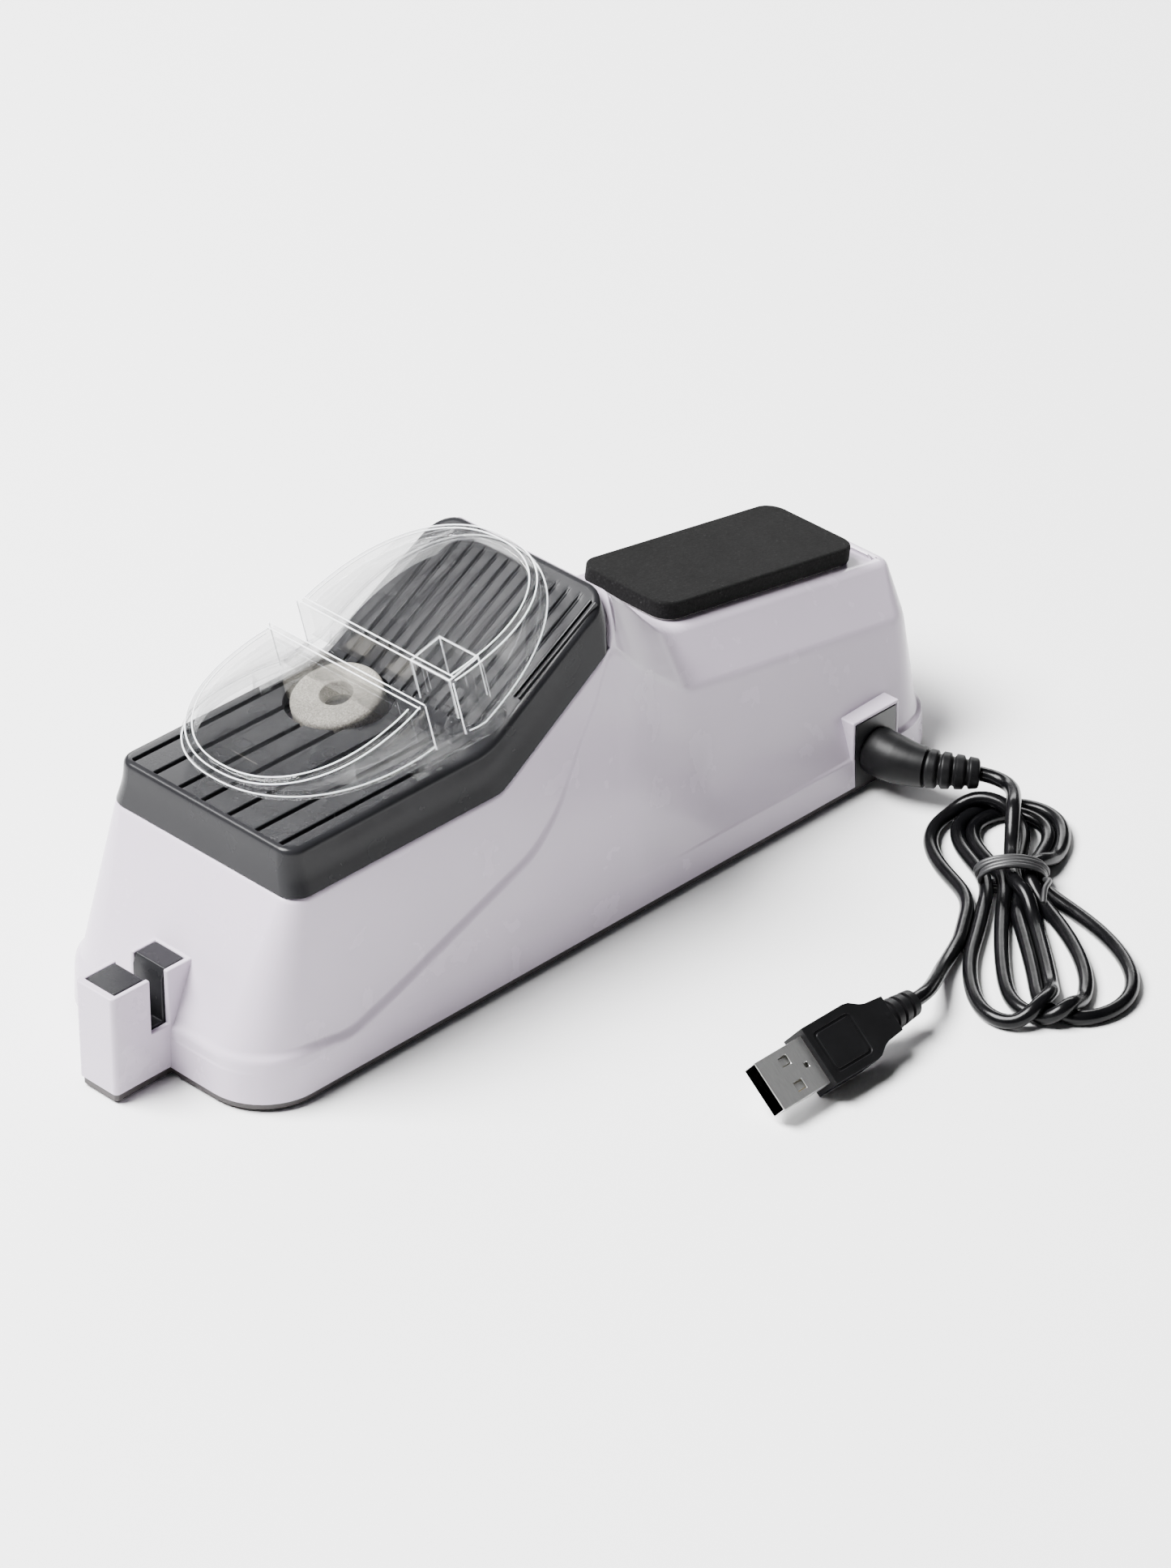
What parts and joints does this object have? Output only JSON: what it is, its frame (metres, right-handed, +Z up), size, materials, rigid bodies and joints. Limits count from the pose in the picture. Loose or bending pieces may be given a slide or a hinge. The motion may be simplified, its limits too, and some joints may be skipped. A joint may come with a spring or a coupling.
{
  "type": "electric knife sharpener",
  "caption": "Electric knife sharpener with a clear guard over its grinding wheel, a honing pad, a hand slot and a plug-in USB lead in a tied hank.",
  "frame": {"origin": "on the surface the feet stand on, under the middle of the sharpener's box without its lead", "axes": "+X from the front block to the socket end, -Y to the side with the socket, +Z up"},
  "size_m": [0.238, 0.175, 0.0894],
  "materials": {
    "white_housing": "gloss",
    "dark_deck": "satin gloss",
    "dark_base": "satin",
    "clear_guard": "clear gloss",
    "abrasive": "grainy",
    "black_plastic": "satin",
    "pad_black": "matte, fine grit",
    "rubber_black": "matte",
    "cord_jacket": "satin PVC",
    "steel": "satin",
    "nickel": "bright",
    "copper": "bright",
    "brass": "bright",
    "carbide": "ground",
    "ferrite": "matte",
    "board_green": "solder mask",
    "white_inner": "matte",
    "wire": "satin",
    "tape": "matte"
  },
  "bodies": {
    "root": {"upper_shell": "white_housing", "base_plate": "dark_base", "rubber_feet": "rubber_black", "base_screws": "steel", "deck_cover": "dark_deck", "motor_can": "steel", "motor_magnets": "ferrite", "motor_end_cap": "white_inner", "motor_bushes": "brass", "motor_brushes": "copper", "motor_bracket": "black_plastic", "motor_screws": "steel", "circuit_board": "board_green", "board_screws": "steel", "dc_socket": "black_plastic", "socket_pin": "brass", "switch_frame": "black_plastic", "motor_leads": "wire", "switch_leads": "wire", "socket_leads": "wire", "block_insert": "dark_deck", "carbide_blades": "carbide", "pad_tape": "tape", "polishing_pad": "pad_black"},
    "rotor": {"grinding_wheel": "abrasive", "wheel_hub": "black_plastic", "hub_grub_screw": "steel", "motor_shaft": "steel", "rotor_core": "copper", "commutator": "copper"},
    "guard": {"clear_cover": "clear_guard"},
    "rocker": {"switch_rocker": "black_plastic"},
    "lead": {"dc_plug_barrel": "nickel", "dc_plug_body": "rubber_black", "cord_lead_dc": "cord_jacket", "cord_hank": "cord_jacket", "twist_tie": "black_plastic", "cord_lead_usb": "cord_jacket", "usb_overmold": "rubber_black", "usb_shell": "nickel", "usb_tongue": "white_inner", "usb_contacts": "brass"}
  },
  "joints": [
    {"name": "wheel_spin", "type": "hinge", "parent": "root", "child": "rotor", "pos_m": [-0.0364, 0.0102, 0.0623], "axis": [-0.2419, 0, 0.9703], "continuous": true},
    {"name": "guard_lift", "type": "slide", "parent": "root", "child": "guard", "axis": [-0.2419, 0, 0.9703], "range_m": [0, 0.03]},
    {"name": "switch_rock", "type": "hinge", "parent": "root", "child": "rocker", "pos_m": [0.115, 0, 0.022], "axis": [0, 1, 0], "range_deg": [0, 16]},
    {"name": "plug_pull", "type": "slide", "parent": "root", "child": "lead", "axis": [0, -1, 0], "range_m": [0, 0.012]}
  ]
}
